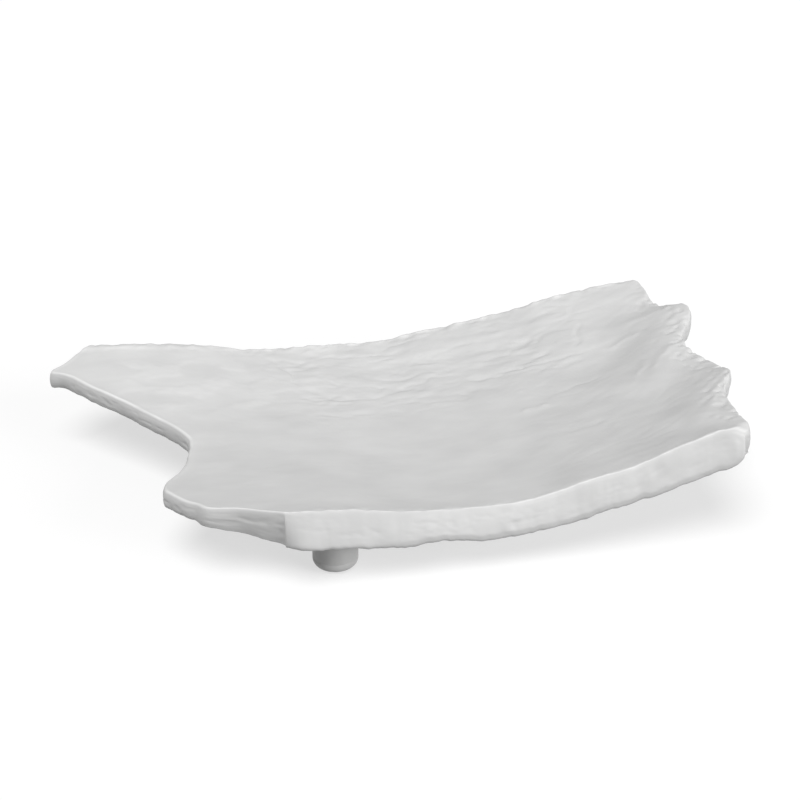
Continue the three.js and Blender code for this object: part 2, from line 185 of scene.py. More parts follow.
# The larger creases of the bark and a few raised streaks, given in the same way
CREASES = [
    (-0.8, 4.5, 1.3, [(-56, 62), (-30, 42), (-6, 43), (12, 49), (33, 46)]),
    (-0.75, 4.5, 1.3, [(28, 47), (53, 45), (70, 42), (93, 48), (114, 57)]),
    (-0.6, 4.0, 1.3, [(7, 80), (29, 72), (47, 69), (75, 70)]),
    (-0.65, 4.0, 1.3, [(66, 72), (89, 68), (121, 80)]),
    (-0.45, 4.0, 1.5, [(-50, 24), (-28, 22), (-4, 26)]),
    (-1.0, 2.4, 1.4, [(-63, 96), (-53, 77), (-48, 58)]),
    (-0.9, 2.2, 1.2, [(122, 50), (127, 60), (128, 66), (134, 74)]),
    (0.9, 1.4, 2.4, [(131, 43), (146, 41), (163, 48)]),
    (0.9, 1.2, 2.6, [(72, -3), (83, -1), (92, 0)]),
    (-0.45, 2.4, 1.3, [(96, 8), (115, 11), (128, 13)]),
    (-0.4, 2.4, 1.3, [(87, -36), (104, -39), (115, -35)]),
    (-0.45, 2.4, 1.3, [(86, 50), (98, 51), (114, 52)]),
    (0.8, 2.0, 2.8, [(178, 19), (166, 13), (150, -9)]),
    (0.6, 2.0, 2.6, [(154, 10), (141, -9)]),
    (0.7, 2.2, 2.6, [(186, -34), (178, -46), (163, -66)]),
]
FOLD_TAPER = 0.2


def fold_heights(folds, x, y):
    """Sum of folds: each is a bell curve of the distance to its line, with a width for either side, that
    tapers to nothing over a share of its run at either end."""
    total = np.zeros_like(x)
    for height, width_left, width_right, places in folds:
        places = np.array(places, float)
        steps = np.hypot(*np.diff(places, axis=0).T)
        travelled = np.concatenate([[0], np.cumsum(steps)])
        nearest = np.full_like(x, np.inf)
        along = np.zeros_like(x)
        to_left = np.zeros_like(x)
        for start, end, step, before in zip(places[:-1], places[1:], steps, travelled):
            heading = (end - start) / step
            ahead = np.clip((x - start[0]) * heading[0] + (y - start[1]) * heading[1], 0, step)
            aside_x, aside_y = x - start[0] - ahead * heading[0], y - start[1] - ahead * heading[1]
            distance = np.hypot(aside_x, aside_y)
            nearer = distance < nearest
            along = np.where(nearer, before + ahead, along)
            to_left = np.where(nearer, heading[0] * aside_y - heading[1] * aside_x > 0, to_left)
            nearest = np.minimum(distance, nearest)
        taper = window(along / travelled[-1], 0, FOLD_TAPER, 1 - FOLD_TAPER, 1)
        total += height * taper * bell(nearest, np.where(to_left, width_left, width_right))
    return total


# Flakes on the long prong: where they lie, their random outline, as height, run along x, run along y and
# seed, the part of it that shows, and how high they stand
FLAKES_X = (-175, -150, -60, -20)
FLAKES_Y = (15, 45, 85, 105)
FLAKE_OUTLINE = [(1, 26, 17, 1007), (0.3, 7, 5, 9)]
FLAKE_SHOWS = (-0.05, 0.35)
FLAKE_HEIGHT = 0.25


def flake_share(x, y):
    """Share of a flake at each place: patches where a random height is above its middle, with borders made
    ragged by a finer one."""
    on_prong = window(x, *FLAKES_X) * window(y, *FLAKES_Y)
    return on_prong * ease(random_relief(FLAKE_OUTLINE, x, y), *FLAKE_SHOWS)


# Random relief of the bark, in layers of the same kind: how its grain wavers, its swells, its coarse and
# fine wrinkles and what breaks them up, the plates between them, and how its creases waver and fade
GRAIN_WAVER = [(5, 70, 45, 1), (1.6, 18, 10, 2)]
GRAIN_BEND = 0.0088
GRAIN_BENDS_FROM = 130
SWELLS = [(0.5, 60, 40, 3)]
SWELLS_END = (190, 160)
COARSE_WRINKLES = [(1, 24, 9, 4), (0.45, 10, 4.5, 5)]
COARSE_DEPTH = 0.5
COARSE_WIDTH = 0.2
COARSE_BREAKS = [(1, 36, 16, 7)]
COARSE_SHOWS = (-0.25, 0.35)
FINE_WRINKLES = [(1, 13, 5, 6), (0.4, 6, 3, 8)]
FINE_DEPTH = 0.12
FINE_WIDTH = 0.25
GRAIN_PLATES = [(0.4, 19, 9, 10)]
LOOSE_PLATES = [(0.22, 9, 6.5, 39)]
CREASE_WAVER_X = [(3, 12, 12, 27)]
CREASE_WAVER_Y = [(2.2, 9, 9, 28)]
CREASE_FADE = [(0.6, 11, 11, 29)]
CREASE_SHARE = 0.65
# Where the wrinkles are strong: towards the back, less so on the curl, and faint elsewhere
STRONG_TOWARDS_BACK = (5, 50)
STRONG_FROM_LEFT = (-90, -30)
WEAKER_AT_CURL = (115, 150)
CURL_LOSS = 0.6
CURL_WRINKLES = 0.3
CURL_WRINKLES_FROM = (55, 90)
FAINT_SHARE = 0.1
WRINKLES_END = (196, 175)


def bark_relief(x, y):
    """Height of the bark's relief: broad swells, and wrinkles along a wandering grain that bends back
    towards the scallops. Wrinkles are thin grooves where a random height passes through nothing, broken up
    by another, with plates between them, strongest at the back and faint at the front. To these come the
    flakes, the creases, whose lines waver, and the crests."""
    bend = GRAIN_BEND * np.maximum(x - GRAIN_BENDS_FROM, 0) ** 2
    grain = y - bend + random_relief(GRAIN_WAVER, x, y)
    swells = random_relief(SWELLS, x, y) * ease(x, *SWELLS_END)
    shown = ease(random_relief(COARSE_BREAKS, x, grain), *COARSE_SHOWS)
    wrinkles = -COARSE_DEPTH * shown * bell(random_relief(COARSE_WRINKLES, x, grain), COARSE_WIDTH)
    wrinkles -= FINE_DEPTH * bell(random_relief(FINE_WRINKLES, x, grain), FINE_WIDTH)
    plates = random_relief(GRAIN_PLATES, x, grain) + random_relief(LOOSE_PLATES, x, y)
    at_back = ease(y, *STRONG_TOWARDS_BACK) * ease(x, *STRONG_FROM_LEFT)
    at_back *= 1 - CURL_LOSS * ease(x, *WEAKER_AT_CURL)
    at_curl = CURL_WRINKLES * ease(x, *CURL_WRINKLES_FROM)
    strength = FAINT_SHARE + (1 - FAINT_SHARE) * np.maximum(at_back, at_curl)
    bark = strength * (wrinkles + plates) * ease(x, *WRINKLES_END)
    waver_x, waver_y = random_relief(CREASE_WAVER_X, x, y), random_relief(CREASE_WAVER_Y, x, y)
    fade = CREASE_SHARE + random_relief(CREASE_FADE, x, y)
    creases = fold_heights(CREASES, x + waver_x, y + waver_y) * fade
    return swells + bark + FLAKE_HEIGHT * flake_share(x, y) + creases + fold_heights(CRESTS, x, y)


# Grid of the top, and the room that its torn outline keeps inside the dish's furthest points. The layers
# of the outline's waver are height, run along it and seed.
TOP_ROWS = 184
TOP_COLUMNS = 244
RIM_LINES = 7
RIM_ZONE = 3.0
END_MARGIN = 0.3
FRONT_MARGIN = 0.2
FRONT_LEAN = 4.0
EDGE_BULGE = 0.6
END_TEAR = [(0.2, 24, 11), (0.2, 6, 12)]
RIGHT_SPLINTERS = [(0.3, 3, 37)]
SPLINTERS_FROM_FRONT = (8, 20)
FRONT_WAVER = [(0.5, 28, 13), (0.25, 9, 21)]
BACK_TEAR = [(0.4, 30, 14), (0.3, 8, 15), (0.2, 3.5, 22)]
Inset = namedtuple("Inset", "left right front back")


def spaced_lines(length, count):
    """Distances across a span: a few that crowd towards the rounded rim at either border, and even ones
    between them."""
    length = np.asarray(length, float)[..., None]
    rim = RIM_ZONE * (1 - np.cos(np.linspace(0, np.pi / 2, RIM_LINES)))
    middle = RIM_ZONE + (length - 2 * RIM_ZONE) * np.linspace(0, 1, count + 1)[1:-1]
    near = np.broadcast_to(rim, length.shape[:-1] + rim.shape)
    return np.concatenate([near, middle, (length - rim)[..., ::-1]], axis=-1)


def torn_in(layers, along):
    """How far a torn outline lies inside its furthest points: a random line raised by its layers' heights."""
    return random_line(layers, along) + sum(height for height, _, _ in layers)


def dish_plan():
    """Places of the top's grid in plan, with how far each lies in from the four borders: rows between the
    torn ends and columns between the long rims, whose lines all waver at random."""
    row = spaced_lines(DISH_WIDTH, TOP_ROWS)
    across = row / DISH_WIDTH
    tear = torn_in(END_TEAR, row)
    splinters = torn_in(RIGHT_SPLINTERS, row) * ease(row, *SPLINTERS_FROM_FRONT)
    left = LEFT_TIP + END_MARGIN + curve_through(LEFT_END, across) + tear
    right = RIGHT_TIP - END_MARGIN - curve_through(RIGHT_END, across) - tear[::-1] - splinters
    column = spaced_lines(right - left, TOP_COLUMNS)
    x = left[:, None] + column
    front = FRONT_LEAN + EDGE_BULGE + FRONT_MARGIN + random_line(FRONT_WAVER, x)
    back = EDGE_BULGE + torn_in(BACK_TEAR, x)
    share = across[:, None]
    y = FRONT_Y + row[:, None] + (1 - share) * front - share * back
    from_front = row[:, None] + 0 * x
    return x, y, Inset(column, column[:, -1:] - column, from_front, DISH_WIDTH - from_front)


# Radius of the round along each rim, which shrinks at the front left corner and along the front's left
# half, and the front right corner's bend
LEFT_ROUND = 1.9
LEFT_CORNER_ROUND = 1.2
LEFT_CORNER_X = (-135, -105)
LEFT_CORNER_Y = (-80, -95)
FRONT_LEFT_ROUND = 0.6
FRONT_RIGHT_ROUND = 1.2
FRONT_ROUND_GROWS = (20, 70)
RIGHT_ROUND = 1.2
BACK_ROUND = 1.8
RIGHT_CORNER_DROP = 3.5
RIGHT_CORNER_REACH = 8


def rounded_drop(distance, radius):
    """How far a quarter-round edge of a radius drops at a distance in from its outline."""
    return radius * (1 - np.sqrt(1 - np.maximum(1 - distance / radius, 0) ** 2))


def rim_rounds(x, y, inset):
    """How far the rims drop below the top: a quarter round along each border, and a smooth bend of the
    front right corner."""
    left_corner = ease(x, *LEFT_CORNER_X) * ease(y, *LEFT_CORNER_Y)
    left_round = LEFT_ROUND + (LEFT_CORNER_ROUND - LEFT_ROUND) * left_corner
    to_right = ease(x, *FRONT_ROUND_GROWS)
    front_round = FRONT_LEFT_ROUND + (FRONT_RIGHT_ROUND - FRONT_LEFT_ROUND) * to_right
    drop = rounded_drop(inset.left, left_round) + rounded_drop(inset.right, RIGHT_ROUND)
    drop += rounded_drop(inset.front, front_round) + rounded_drop(inset.back, BACK_ROUND)
    bend = ease(inset.right, RIGHT_CORNER_REACH, 0) * ease(inset.front, RIGHT_CORNER_REACH, 0)
    return drop + RIGHT_CORNER_DROP * bend


# Beads beside the rims: the left rim's, the back rim's lip, which is broken at random, and the one along
# the back of the long prong
LEFT_BEAD = 0.25
BACK_BEAD = 0.5
BEAD_INSET = 2.2
BEAD_WIDTH = 1.4
LIP_BREAKS = [(1, 11, 40), (0.5, 4, 41)]
LIP_SHOWS = (-0.3, 0.5)
LIP_FROM_LEFT = (-110, -70)
PRONG_BEAD_INSET = 4.0
PRONG_BEAD_WIDTH = 1.6
PRONG_BEAD_ENDS = (-60, -100)


def back_lip(x, inset):
    """Share of the lip along the back rim: a bell curve beside the rim, where a random line is high."""
    shown = ease(random_line(LIP_BREAKS, x), *LIP_SHOWS) * ease(x, *LIP_FROM_LEFT)
    return shown * bell(inset.back - BEAD_INSET, BEAD_WIDTH)


def rim_beads(x, inset):
    """Height of the beads: bell curves of the distance to lines a little way in from the rims."""
    prong = bell(inset.back - PRONG_BEAD_INSET, PRONG_BEAD_WIDTH) * ease(x, *PRONG_BEAD_ENDS)
    left = bell(inset.left - BEAD_INSET, BEAD_WIDTH)
    return LEFT_BEAD * left + BACK_BEAD * (prong + back_lip(x, inset))


# Chips beside the torn rims, half as strong by the front rim, and gouges behind the scallops that run with
# the crests. Reaches are how far in from a rim they start and are full.
CHIPS = [(0.7, 7, 4, 23), (0.4, 3.4, 2.6, 24)]
BACK_CHIPS_REACH = (11, 2)
RIGHT_CHIPS_REACH = (10, 2)
FRONT_CHIPS_REACH = (5, 1)
FRONT_CHIPS = 0.5
CHIPS_FROM_FRONT = (8, 20)
HIGHEST_CHIP = 0.4
FLAT_BY_RIGHT = (5, 15)
CREST_HEADING = (-0.77, -0.64)
LONG_GOUGES = [(1, 9, 5, 35)]
SHORT_GOUGES = [(0.6, 4, 4, 36)]
GOUGE_SHOWS = (0, 0.5)
GOUGE_DEPTH = 0.9
GOUGES_REACH = (24, 5)
GOUGES_FROM_FRONT = (8, 24)
GOUGES_FROM_BACK = (15, 40)


def rim_chips(x, y, inset):
    """Height of the chips: a random relief that fades in from the rims, and whose tops are cut off, lower
    by the right rim."""
    by_right = ease(inset.right, *RIGHT_CHIPS_REACH) * ease(inset.front, *CHIPS_FROM_FRONT)
    by_rim = np.maximum(ease(inset.back, *BACK_CHIPS_REACH), by_right)
    by_rim = np.maximum(by_rim, FRONT_CHIPS * ease(inset.front, *FRONT_CHIPS_REACH))
    highest = HIGHEST_CHIP * ease(inset.right, *FLAT_BY_RIGHT)
    return by_rim * np.minimum(random_relief(CHIPS, x, y), highest)


def scallop_gouges(x, y, inset):
    """Depth of the gouges: smooth steps down where a random height, long in the crests' direction and made
    ragged by a finer one, is above its middle."""
    ahead_x, ahead_y = CREST_HEADING
    down_crest, beside_crest = ahead_x * x + ahead_y * y, ahead_x * y - ahead_y * x
    height = random_relief(LONG_GOUGES, down_crest, beside_crest) + random_relief(SHORT_GOUGES, x, y)
    by_scallops = ease(inset.right, *GOUGES_REACH) * ease(inset.front, *GOUGES_FROM_FRONT)
    by_scallops *= ease(inset.back, *GOUGES_FROM_BACK)
    return GOUGE_DEPTH * ease(height, *GOUGE_SHOWS) * by_scallops


# Painted highlight that leaves the left and front rims, the back lip and the flakes paler. It comes and goes
# at random, misses the front left corner, and is weaker along the front, weakest on its left half.
HIGHLIGHT_INSET = 0.5
LEFT_HIGHLIGHT_INSET = 0.6
HIGHLIGHT_WIDTH = 0.8
HIGHLIGHT_PATCHES = [(1, 13, 13, 26)]
HIGHLIGHT_SHOWS = (-0.3, 0.4)
HIGHLIGHT_LEAST = 0.5
UNLIT_RIM_CORNER = (-97, -98)
UNLIT_RIM_WIDTHS = (14, 10)
FRONT_HIGHLIGHT_REACH = (3, 1)
FRONT_HIGHLIGHT_LOSS = 0.35
FRONT_LOSS_TO_LEFT = (60, 30)
LIP_HIGHLIGHT = 0.6
FLAKE_HIGHLIGHT = 0.14


def painted_rim_highlight(x, y, inset):
    """Share of painted highlight: a bell curve of the distance to the rim's crest, times random patches, less
    what the corner and the front lose, with fixed shares on the back lip and the flakes."""
    highlight = bell(np.minimum(inset.left - LEFT_HIGHLIGHT_INSET, inset.front) - HIGHLIGHT_INSET, HIGHLIGHT_WIDTH)
    highlight *= HIGHLIGHT_LEAST + (1 - HIGHLIGHT_LEAST) * ease(random_relief(HIGHLIGHT_PATCHES, x, y), *HIGHLIGHT_SHOWS)
    highlight *= 1 - bell(x - UNLIT_RIM_CORNER[0], UNLIT_RIM_WIDTHS[0]) * bell(y - UNLIT_RIM_CORNER[1], UNLIT_RIM_WIDTHS[1])
    front_loss = FRONT_HIGHLIGHT_LOSS * (1 + ease(x, *FRONT_LOSS_TO_LEFT))
    highlight *= 1 - ease(inset.front, *FRONT_HIGHLIGHT_REACH) * front_loss
    return highlight + LIP_HIGHLIGHT * back_lip(x, inset) + FLAKE_HIGHLIGHT * flake_share(x, y)


# Height of the front face, which is torn along its foot: place along it, height
FRONT_FACE = [
    (-84, 22.8), (-50, 22.6), (-35, 22), (-22, 21.3), (-14, 20.9), (-9, 19.4), (3, 18.4), (11, 18.6),
    (20, 19.9), (30, 20.4), (43, 19.9), (57, 20.4), (68, 21.6), (74, 23.1), (80, 23.4), (91, 21.7),
    (102, 21.8), (113, 22.4), (119, 23.6), (125, 24.6), (141, 24.2), (153, 24.4), (160, 23.8), (165, 22),
    (170, 17.5),
]
# Dents (below nought) and ridges on the front face: place along it, depth below the rim, height, half its
# width, half its tallness
FACE_MARKS = [
    (40.6, 11, -0.7, 2.0, 2.6), (37, 12, 0.3, 2.0, 3.0), (110, 10.5, -0.3, 2.2, 2.6),
    (124, 12, -0.45, 4.0, 4.0), (116, 9, 0.35, 2.2, 5.0), (120, 6, -0.25, 2.2, 2.2),
    (139.5, 13, -0.2, 2.4, 2.4), (155, 7, -0.2, 5.0, 5.0), (164, 10, 0.3, 2.4, 7.0),
    (76, 9, -0.3, 6.0, 5.0), (-28, 9, 0.3, 5.0, 9.0), (-6, 8, 0.3, 4.0, 8.0),
]
SIDE_EDGE = 10.6
FRONT_FACE_FADE = 33.0
CORNER_FADE = 60.0
RAGGED_FOOT = [(0.4, 30, 30, 18), (0.25, 9, 9, 19), (0.35, 3.6, 3.6, 32)]


def edge_depth(x, y):
    """Depth of the turned-down edge below the top: tall along the front, shrinking evenly with the
    distance from it, more slowly beyond the left corner, down to the thin edge of the ends and the back,
    with a ragged foot."""
    past_corner = np.maximum(LEFT_TIP + LEFT_END[0][1] - x, 0)
    inward = np.maximum(y - FRONT_Y - FRONT_LEAN - 2 * EDGE_BULGE, 0)
    away = np.hypot(past_corner / CORNER_FADE, inward / FRONT_FACE_FADE)
    depth = SIDE_EDGE + (curve_through(FRONT_FACE, x) - SIDE_EDGE) * np.maximum(1 - away, 0)
    return depth - random_relief(RAGGED_FOOT, x, y)


# Shape of the edge: the front face leans out, and the ends stand nearly upright, except that they slant in
# where they face the front. Slant is what the foot lies in for its depth. Distances from a corner count up
# along the front and down along the other edge.
END_SLANT = -0.02
CORNER_SLANT = 0.14
FACING_FRONT = (0.7, 0.9)
FACE_FROM_LEFT_CORNER = (-7, 6)
FACE_TO_RIGHT_CORNER = (-8, 0)
LEAN_FROM_LEFT_CORNER = (-5, 12)
RIGHT_CORNER_WIDTH = 12
FRONT_FOOT_ROUND = 3.0
END_FOOT_ROUND = 1.5
CORNER_FOOT_LOSS = 1.6
FOOT_ROUND_WAVER = [(0.8, 11, 33), (0.4, 4, 34)]
FOOT_CUT = 0.5
FOOT_CUT_FROM = (-45, 5)
OUTWARD_TURNS = 3
LEAN_TURNS = 6
Edge = namedtuple("Edge", "rim outward travel at_front at_right_corner lean foot foot_round foot_cut")


def round_the_border(grid):
    """Values of a grid along its border, from its first corner along the front, right, back and left."""
    return np.concatenate([grid[0, :-1], grid[:-1, -1], grid[-1, :0:-1], grid[:0:-1, 0]])


def eased_round(values, turns):
    """Values along a closed border, smoothed by averaging each with its neighbours a number of times."""
    for _ in range(turns):
        values = (np.roll(values, 1, axis=0) + 2 * values + np.roll(values, -1, axis=0)) / 4
    return values


def follow_edge(top, surface, depth):
    """What the edge does at each point of the rim: the way out, square to the rim, the distance travelled
    from the front left corner, less than nothing along the left and the back, how far it is front face and
    right corner, how far it leans in over its depth, and the height, round and cut of its foot."""
    rows, columns = (count - 1 for count in surface.shape)
    rim = round_the_border(top)
    ahead = np.roll(rim, -1, axis=0) - np.roll(rim, 1, axis=0)
    step = np.hypot(ahead[:, 0], ahead[:, 1])
    outward = np.stack([ahead[:, 1], -ahead[:, 0]], axis=-1) / step[:, None]
    outward = eased_round(outward, OUTWARD_TURNS)
    point = np.arange(len(rim))
    travel = np.cumsum(step / 2)
    travel -= travel[-1] * (point > columns + rows)
    to_left_corner, to_right_corner = (np.hypot(*(rim[:, :2] - rim[i, :2]).T) for i in (0, columns))
    on_front = np.where(point <= columns, 1, -1)
    from_left_corner = on_front * to_left_corner
    at_front = ease(from_left_corner, *FACE_FROM_LEFT_CORNER)
    at_front *= ease(on_front * to_right_corner, *FACE_TO_RIGHT_CORNER)
    at_right_corner = bell(to_right_corner, RIGHT_CORNER_WIDTH)
    rim_depth = round_the_border(depth)
    slant = END_SLANT + (CORNER_SLANT - END_SLANT) * ease(-outward[:, 1], *FACING_FRONT)
    leaning_out = FRONT_LEAN * at_front * ease(from_left_corner, *LEAN_FROM_LEFT_CORNER)
    lean = eased_round(slant * rim_depth * (1 - at_front) - leaning_out, LEAN_TURNS)
    foot_round = END_FOOT_ROUND + (FRONT_FOOT_ROUND - END_FOOT_ROUND) * at_front
    foot_round += random_line(FOOT_ROUND_WAVER, travel) - CORNER_FOOT_LOSS * at_right_corner
    foot_cut = FOOT_CUT * at_front * (1 - at_right_corner) * ease(rim[:, 0], *FOOT_CUT_FROM)
    foot = round_the_border(surface) - rim_depth
    return Edge(rim, outward, travel, at_front, at_right_corner, lean, foot, foot_round, foot_cut)


# Surface of the edge: dents and layers in it, as depth at the ends, depth on the front face, run along it,
# run down it and seed, and the bevel along the torn foot of the front face
EDGE_RELIEF = [
    (0.3, 0.2, 17, 11, 16), (0.25, 0.12, 7, 4, 17), (0.18, 0.18, 22, 2.6, 20), (0.4, 0.15, 4, 2.4, 31),
]
CORNER_BULGE = 0.5
BULGE_POWER = 0.6
BEVEL_TALLNESS = 2.6
BEVEL_WAVER = [(1.4, 6, 38)]
# Painted highlight along the top of the front face, towards its right end, just below the rim
FACE_HIGHLIGHT = 0.4
FACE_HIGHLIGHT_FROM = (30, 60)
FACE_HIGHLIGHT_DEPTH = 0.8
FACE_RINGS = 20
FOOT_RINGS = 4


def edge_rings(edge):
    """Rings down the edge and round under its foot, with their share of painted highlight. The edge bulges
    as a power of a sine between rim and foot, is hollowed by its dents and leans in evenly, with a smooth
    bevel above the foot. The foot is a quarter round."""
    rim_x, rim_y, rim_z = edge.rim.T
    share = np.linspace(0, 1, FACE_RINGS + 1)[1:, None]
    level = rim_z + (edge.foot + edge.foot_round - rim_z) * share
    below = rim_z - level
    dents = sum(
        (at_ends + (on_face - at_ends) * edge.at_front) * wander(edge.travel / along, below / down, seed)
        for at_ends, on_face, along, down, seed in EDGE_RELIEF
    )
    marks = sum(
        height * bell(rim_x - place, wide) * bell(below - middle, tall)
        for place, middle, height, wide, tall in FACE_MARKS
    )
    bulge = EDGE_BULGE + CORNER_BULGE * edge.at_right_corner
    face = bulge + np.minimum(dents, 0) + edge.at_front * marks
    above_foot = level - edge.foot - edge.foot_round
    bevel = ease(above_foot, BEVEL_TALLNESS + random_line(BEVEL_WAVER, edge.travel), 0)
    out = face * np.sin(np.pi * share) ** BULGE_POWER - edge.lean * share - edge.foot_cut * bevel
    # Painted highlight in a narrow band just below the front rim
    highlight = FACE_HIGHLIGHT * edge.at_front * ease(rim_x, *FACE_HIGHLIGHT_FROM) * bell(below, FACE_HIGHLIGHT_DEPTH)

    turn = np.linspace(0, np.pi / 2, FOOT_RINGS + 2)[1:-1, None]
    foot_out = -edge.lean - edge.foot_cut - edge.foot_round * (1 - np.cos(turn))
    foot_level = edge.foot + edge.foot_round * (1 - np.sin(turn))
    out, level = np.vstack([out, foot_out]), np.vstack([level, foot_level])
    rings = np.stack([rim_x + edge.outward[:, 0] * out, rim_y + edge.outward[:, 1] * out, level], axis=-1)
    return rings, np.vstack([highlight, np.zeros_like(foot_level)])


# The underside: the edge's thickness at its foot and the slope inside it, and how far in from the borders the
# foot's round and lean still draw it in
EDGE_THICKNESS = 6.0
EDGE_DRAFT = 3.0
PULL_REACH = 24.0


def underside(top, surface, depth, inset, edge):
    """Grid of the underside, at every second place of the top's: the wall's thickness below the top,
    running smoothly down to the edge's foot near the borders, where it is drawn in evenly to meet the
    edge's last ring."""
    rows, columns = (count - 1 for count in surface.shape)
    inward = -edge.outward * (edge.lean + edge.foot_cut + edge.foot_round)[:, None]
    front, right = inward[: columns + 1], inward[columns : columns + rows + 1]
    back = inward[columns + rows : 2 * columns + rows + 1][::-1]
    left = np.vstack([inward[2 * columns + rows :], inward[:1]])[::-1]
    shifts = Inset(left[:, None], right[:, None], front[None], back[None])
    pull = sum(
        np.maximum(1 - distance / PULL_REACH, 0)[..., None] * shift for distance, shift in zip(inset, shifts)
    )
    inside = ease(np.minimum.reduce(inset), EDGE_THICKNESS / 2, EDGE_THICKNESS + EDGE_DRAFT)
    height = surface - (depth + (DISH_WALL - depth) * inside)
    return np.dstack([top[..., :2] + pull, height])[::2, ::2]


def grid_quads(index):
    """Four-sided faces between neighbouring places of a grid of vertex numbers."""
    corners = [index[:-1, :-1], index[:-1, 1:], index[1:, 1:], index[1:, :-1]]
    return np.stack(corners, axis=-1).reshape(-1, 4)


def seam(outer, inner):
    """Triangles between a closed ring and one inside it with half as many points, three to each of these."""
    outer, inner = np.append(outer, outer[0]), np.append(inner, inner[0])
    return np.concatenate([
        np.column_stack([outer[:-1:2], inner[:-1], outer[1::2]]),
        np.column_stack([outer[1::2], inner[:-1], inner[1:]]),
        np.column_stack([outer[1::2], inner[1:], outer[2::2]]),
    ])


def dish_shell():
    """Closed shell of the dish, with each point's share of painted highlight: a fine grid for the top, rings
    down its edge and under its foot, and a grid of half the fineness for the underside, sewn to the last
    ring."""
    x, y, inset = dish_plan()
    surface = dish_height(x, y) + bark_relief(x, y) + rim_beads(x, inset)
    surface += rim_chips(x, y, inset) - scallop_gouges(x, y, inset)
    top = np.stack([x, y, surface - rim_rounds(x, y, inset)], axis=-1)
    depth = edge_depth(x, y)
    edge = follow_edge(top, surface, depth)
    rings, ring_highlight = edge_rings(edge)
    under = underside(top, surface, depth, inset, edge)

    top_index = np.arange(x.size).reshape(x.shape)
    ring_index = x.size + np.arange(ring_highlight.size).reshape(ring_highlight.shape)
    under_index = x.size + ring_highlight.size + np.arange(under[..., 0].size).reshape(under.shape[:2])
    around = np.vstack([round_the_border(top_index), ring_index])
    band = grid_quads(np.hstack([around, around[:, :1]]))[:, [0, 3, 2, 1]]
    sewn = seam(ring_index[-1], round_the_border(under_index))
    points = np.concatenate([grid.reshape(-1, 3) for grid in (top, rings, under)])
    highlight = np.concatenate([painted_rim_highlight(x, y, inset).ravel(), ring_highlight.ravel(), np.zeros(under_index.size)])
    return points, [grid_quads(top_index), band, sewn, grid_quads(under_index)[:, ::-1]], highlight


def put_mesh(name, points, faces, material, sharp_degrees=40):
    """Object at the origin from points in millimetres and groups of faces, of one material, shaded smooth
    except across edges sharper than the given angle."""
    mesh = bpy.data.meshes.new(name)
    every_face = [face for group in faces for face in group.tolist()]
    mesh.from_pydata((np.asarray(points) * MM).tolist(), [], every_face)
    mesh.polygons.foreach_set("use_smooth", np.ones(len(mesh.polygons), bool))
    mesh.set_sharp_from_angle(angle=np.radians(sharp_degrees))
    mesh.materials.append(material)
    piece = bpy.data.objects.new(name, mesh)
    bpy.context.scene.collection.objects.link(piece)
    return piece


def circle(sides):
    """Angles of a number of sides, evenly round a circle."""
    return np.arange(sides) * 2 * np.pi / sides


def turned(radius, height, place, sides, ring=False):
    """Surface of a profile carried round an upright axis. Radii and heights are one for each step of the
    profile, or one for each step and side. The profile runs from its lower end on the axis out and up to
    its upper end on the axis, which are closed as poles, or as a ring joins its own end."""
    angle = circle(sides)
    radius, height = (np.asarray(value, float) for value in (radius, height))
    radius, height = (value if value.ndim == 2 else value[:, None] + 0 * angle for value in (radius, height))
    poles = [] if ring else [(*place, height[0, 0]), (*place, height[-1, 0])]
    if not ring:
        radius, height = radius[1:-1], height[1:-1]
    shell = np.stack([place[0] + radius * np.cos(angle), place[1] + radius * np.sin(angle), height], axis=-1)
    index = np.arange(radius.size).reshape(radius.shape)
    index = np.hstack([index, index[:, :1]])
    faces = [grid_quads(np.vstack([index, index[:1]]) if ring else index)]
    if not ring:
        start, end = radius.size + 0 * angle.astype(int), radius.size + 1 + 0 * angle.astype(int)
        faces += [np.column_stack([start, index[0, 1:], index[0, :-1]])]
        faces += [np.column_stack([end, index[-1, :-1], index[-1, 1:]])]
    return np.concatenate([shell.reshape(-1, 3), np.reshape(poles, (-1, 3))]), faces


def node_span(node):
    """Middle of a node's box in plan, with its lowest and its highest place, in millimetres."""
    low, high = (np.array(corner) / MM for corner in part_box(node))
    return (low[:2] + high[:2]) / 2, low[2], high[2]


def quarter_round(radius, height, size, start, end, steps=8):
    """Radii and heights of an arc about a middle, from one angle to another in degrees."""
    angle = np.radians(np.linspace(start, end, steps + 1))
    return np.column_stack([radius + size * np.cos(angle), height + size * np.sin(angle)])


# Bosses under the dish: the socket for a foot's spigot, the hole for an insert and the column round them
FEET = ("front_left", "back_left", "right")
SPIGOT_HEIGHT = 2.5
SPIGOT_RADIUS = 7.0
SPIGOT_PLAY = 0.3
INSERT_HOLE_RADIUS = 3.5
INSERT_TIP_ROOM = 1.5
BOSS_RADIUS = 13.5
BOSS_SEAT_ROUND = 0.5
BOSS_FLARE = 3.0
BOSS_SIDES = 96


